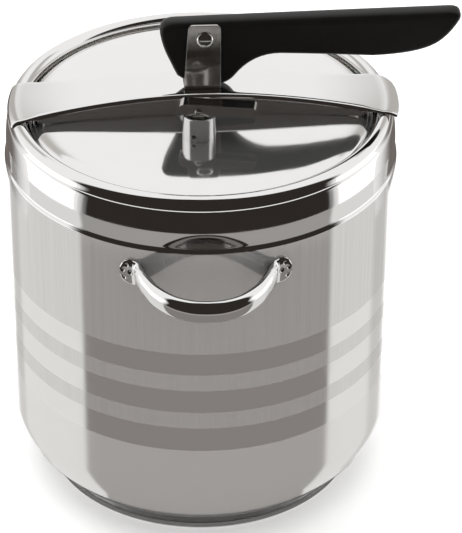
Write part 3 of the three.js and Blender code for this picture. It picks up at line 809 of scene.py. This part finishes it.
def valve_tube():
    """Open tube with a vent hole low in its wall."""
    lip = 0.25
    floor = TUBE_BASE_Z + 1.2
    outer = [(SEAT_HOLE, TUBE_BASE_Z), (TUBE_RADIUS, TUBE_BASE_Z), (TUBE_RADIUS, TUBE_TOP_Z - lip)]
    rim = [(TUBE_RADIUS - lip, TUBE_TOP_Z), (TUBE_INNER_RADIUS + lip, TUBE_TOP_Z)]
    inner = [(TUBE_INNER_RADIUS, TUBE_TOP_Z - lip), (TUBE_INNER_RADIUS, floor), (SEAT_HOLE, floor)]
    obj = turned("valve_tube_surface", outer + rim + inner, segments=72, closed=True)
    vent = bar_along_y(1.2, 4, 0, TUBE_BASE_Z + 2.8, -9)
    vent.data.transform(Matrix.Rotation(math.radians(-22), 4, "Z"))
    cut(obj, vent)
    piece(at_valve(obj), TUBE_STEEL, "lid", "polished_steel", "valve_tube")


def at_flip_lever(obj):
    obj.data.transform(Matrix.Rotation(math.radians(FLIP_TURN), 4, "Z"))
    return at_valve(obj)


def flip_lever():
    """Folded channel over the valve, with round ears at its pin and a rounded, turned-down left end."""
    x0, x1 = -11, 31.2
    top, bottom = FLIP_PIVOT_Z + 4.2, FLIP_PIVOT_Z - 2.4
    bend, sheet = 3.6, 0.95
    half_width = 4.2
    ear = 4.4
    ear_start = math.degrees(math.asin((FLIP_PIVOT_Z - bottom) / ear))
    outline = [(x0, bottom), *arc(0, FLIP_PIVOT_Z, ear, 180 + ear_start, 360 - ear_start, 16)]
    outline += [(x1, bottom + 0.6), (x1, top - 1), (x1 - 1, top)]
    outline += arc(x0 + bend, top - bend, bend, 90, 180, 12)
    inside = [(x0 + sheet, bottom - 5), (x1 + 5, bottom - 5), (x1 + 5, top - sheet)]
    inside += arc(x0 + bend, top - bend, bend - sheet, 90, 180, 12)
    obj = plate("flip_lever_surface", outline, -half_width, half_width)
    hollow = plate("hollow", inside, -half_width + sheet, half_width - sheet)
    cut(obj, hollow, bar_along_y(1.3, 8, 0, FLIP_PIVOT_Z))
    rounded_edges(obj, 0.35, 3)
    piece(at_flip_lever(obj), DULL_STEEL, "flip_lever", "polished_steel", "flip_lever")


def flip_pin():
    head = [(0, 5.6), (1.1, 5.55), (1.6, 5.35), (1.9, 5), (1.9, 4.5)]
    profile = head + [(1, 4.5), (1, -4.5)] + [(r, -y) for r, y in reversed(head)]
    obj = rod_along_y("flip_lever_pin_surface", profile, 0, FLIP_PIVOT_Z)
    piece(at_flip_lever(obj), DULL_STEEL, "valve_stem", "polished_steel", "flip_lever_pin")


# ---------------------------------------------------------------- safety valve


def safety_housing():
    seat = LID_TOP_Z + GAP
    stem = [(1.8, LID_TOP_Z - 10), (4.1, LID_TOP_Z - 10), (4.1, seat), (7, seat), (7, seat + 2.2)]
    outer = [(6.8, seat + 2.4), (6.3, seat + 2.6), (6.3, seat + 10.2), (5.9, seat + 11), (5.2, seat + 11.4)]
    inner = [(2.2, seat + 11.4), (2.2, seat + 10), (5, seat + 10), (5, seat + 3.4), (1.8, seat + 3.4)]
    obj = turned("safety_housing_surface", stem + outer + inner, (SAFETY_X, SAFETY_Y), closed=True)
    piece(obj, MACHINED, "lid", "machined_steel", "safety_housing")


def safety_plunger():
    foot = LID_TOP_Z + 4
    profile = [(0, foot), (4.5, foot), (4.5, foot + 1.5), (1.7, foot + 1.9), (1.7, foot + 9.7)]
    profile += [(1.5, foot + 10.1), (1.1, foot + 10.3), (0, foot + 10.3)]
    obj = turned("safety_plunger_surface", profile, (SAFETY_X, SAFETY_Y))
    piece(obj, MACHINED, "safety_plunger", "machined_steel", "safety_plunger")


# ---------------------------------------------------------------- stage


def stage_object(name, points, faces, material, shown=False):
    """Floor or reflecting card. A card is seen only in the steel, and neither lights nor shades the floor."""
    mesh = bpy.data.meshes.new(name)
    mesh.from_pydata(points, [], faces)
    mesh.materials.append(material)
    obj = bpy.data.objects.new(name, mesh)
    SCENE.collection.objects.link(obj)
    if not shown:
        obj.visible_camera = False
        obj.visible_diffuse = False
        obj.visible_shadow = False
    return obj


def mark_edges(obj, edges):
    """Stores how far each point lies towards the card's ends, for a fading glow."""
    obj.data.attributes.new("edge", "FLOAT", "POINT").data.foreach_set("value", edges)
    return obj


def from_wall(angle, reach):
    """Floor point at a reach from the wall, where a ray from the camera would come down that met the wall
    at this compass angle from the camera's side."""
    wall = math.radians(angle + CAMERA_AZIMUTH)
    away = math.radians(2 * angle * MIRROR_SPREAD + CAMERA_AZIMUTH)
    radius = POT_RADIUS * MM + min(0, reach)
    reach = max(0, reach)
    return radius * math.sin(wall) + reach * math.sin(away), -radius * math.cos(wall) - reach * math.cos(away)


def fan_card(name, start, end, material, height=2 * CARD_LIFT, reaches=(FOOT_INSET, 0, FAR_REACH)):
    """Floor card that the wall mirrors as an upright stripe between two compass angles."""
    steps = round(end - start)
    points, edges = [], []
    for k in range(steps + 1):
        edges += [abs(2 * k / steps - 1)] * len(reaches)
        for reach in reaches:
            x, y = from_wall(start + (end - start) * k / steps, reach)
            points.append((x, max(y, TABLE_EDGE_Y), height))
    width = len(reaches)
    faces = []
    for k in range(steps):
        for j in range(width - 1):
            a = k * width + j
            faces.append((a, a + 1, a + width + 1, a + width))
    return mark_edges(stage_object(name, points, faces, material), edges)


def screen(name, start, end, rows, material):
    """Card behind the object between two compass angles, through rows of a radius and a height."""
    steps = 20
    width = steps + 1
    points, edges = [], []
    for radius, height in rows:
        for k in range(width):
            a = math.radians(start + (end - start) * k / steps)
            points.append((radius * math.sin(a), -radius * math.cos(a), height))
            edges.append(abs(2 * k / steps - 1))
    starts = [i * width + k for i in range(len(rows) - 1) for k in range(steps)]
    faces = [(a, a + 1, a + width + 1, a + width) for a in starts]
    return mark_edges(stage_object(name, points, faces, material), edges)


def dark_room():
    """The unlit side of the studio behind the camera: a stretch of floor and a rounded dark wall."""
    rows = [(0.3, 0), (1, 0)]
    for degrees in range(6, DARK_TOP, 6):
        rows.append((math.cos(math.radians(degrees)), math.sin(math.radians(degrees))))
    start, end = DARK_SIDE
    middle, half = (start + end) / 2, (end - start) / 2
    columns = 48
    points, edges = [], []
    for out, up in rows:
        elevation = math.degrees(math.asin(up))
        narrow = math.sqrt(max(0, 1 - (elevation / DARK_TOP) ** 2.5))
        narrow *= 0.9 + 0.1 * smoothstep(elevation, -6, 18)
        for k in range(columns + 1):
            across = 2 * k / columns - 1
            edges.append(abs(across))
            a = math.radians(middle + half * narrow * across)
            side, front = out * math.sin(a), -out * math.cos(a)
            points.append((DARK_RADIUS * side, DARK_RADIUS * front, DARK_RADIUS * up + CARD_LIFT))
    width = columns + 1
    faces = []
    for i in range(len(rows) - 1):
        for k in range(columns):
            a = i * width + k
            faces.append((a, a + 1, a + width + 1, a + width))
    room = stage_object("dark_room", points, faces, fading_glow("unlit_studio", (0.03, 0.025, 0.022), 0.88))
    return mark_edges(room, edges)


def table_cards():
    """Glowing cards for the light and shade on the table round the pot, which the wall mirrors as upright
    stripes.
    """
    pale = (0.8, 0.8, 0.79)
    shaded_front = fading_glow("front_table", (0.25, 0.235, 0.225), 0.95, pale)
    paler_strip = fading_glow("far_table", (0.37, 0.36, 0.35), 0.95, pale)
    light = glow("side_table", pale)
    half_shade = fading_glow("side_shade", (0.6, 0.6, 0.585), 0.4, pale)
    left, right = FRONT_SHADE
    fan_card("front_card", left, right, shaded_front, reaches=(FOOT_INSET, 0, NEAR_REACH))
    fan_card("far_card", left, right, paler_strip, reaches=(NEAR_REACH, FAR_REACH))
    fan_card("left_card", SIDE_LIGHT[0], left, light)
    fan_card("right_card", right, SIDE_LIGHT[1], light)
    fan_card("left_shade", SIDE_SHADE[0], SIDE_LIGHT[0], half_shade)
    fan_card("right_shade", SIDE_LIGHT[1], SIDE_SHADE[1], half_shade)
    # near-black card in under the pot's overhang: painted shade of the floor beneath the base
    base_shade_glow = glow("base_shade", (0.012, 0.009, 0.008))
    fan_card("base_shade_card", -90, 90, base_shade_glow, 3 * CARD_LIFT, (SHADE_INSET, FOOT_INSET))


def lights():
    """An even white studio, and a wide soft light overhead that the steel doesn't mirror."""
    world = bpy.data.worlds.new("studio")
    world.use_nodes = True
    world.node_tree.nodes["Background"].inputs["Color"].default_value = (1, 1, 1, 1)
    SCENE.world = world
    light = bpy.data.lights.new("overhead", "AREA")
    light.shape = "RECTANGLE"
    light.size, light.size_y = 2.4, 1.6
    light.energy = 22
    lamp = bpy.data.objects.new("overhead", light)
    lamp.location = (-0.3, 0.4, 2.2)
    lamp.visible_glossy = False
    SCENE.collection.objects.link(lamp)


def build_stage():
    size = 6  # metres
    corners = [(-size, -size, 0), (size, -size, 0), (size, size, 0), (-size, size, 0)]
    stage_object("floor", corners, [(0, 1, 2, 3)], pale_floor(), shown=True)
    table_cards()
    pale = fading_glow("back_screen", (0.52, 0.5, 0.48), 0.2)
    dark = fading_glow("low_back_screen", (0.17, 0.15, 0.14), 0.25)
    for name, (start, end) in SCREENS.items():
        screen(name, start, end, SCREEN_ROWS, pale)
    for name, (start, end) in LOW_SCREENS.items():
        screen(name, start, end, LOW_SCREEN_ROWS, dark)
    dark_room()
    lights()


def build_camera():
    data = bpy.data.cameras.new("camera")
    data.lens = 191.2
    data.sensor_width = 36
    data.shift_x = 0.057
    camera = bpy.data.objects.new("camera", data)
    camera.location = CAMERA_PLACE
    camera.rotation_euler = (math.radians(CAMERA_TILT), 0, math.radians(CAMERA_AZIMUTH))
    SCENE.collection.objects.link(camera)
    SCENE.camera = camera
    SCENE.view_settings.view_transform = "Standard"


# ---------------------------------------------------------------- assembly

KEPT = {
    "heat_disc": ALUMINIUM,
    "lever_bush": MACHINED,
    "valve_seat": MACHINED,
    "valve_washer": SILICONE,
    "valve_nut": MACHINED,
    "valve_guide": MACHINED,
    "valve_stem": MACHINED,
    "valve_spring": MACHINED,
    "safety_washer": SILICONE,
    "safety_nut": MACHINED,
    "safety_spring": MACHINED,
}

pot_shell()
base_cap()
side_handle("side_handle_front", HANDLE_TURN)
side_handle("side_handle_back", HANDLE_TURN + 180)
bridge()
lid_disc()
lid_gasket()
strap("strap_front", -1)
strap("strap_back", 1)
lever_pin()
lever_handle()
valve_tube()
flip_lever()
flip_pin()
safety_housing()
safety_plunger()
for node, finish in KEPT.items():
    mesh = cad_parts[node].data
    mesh.materials.clear()
    mesh.materials.append(finish)
build_stage()
build_camera()
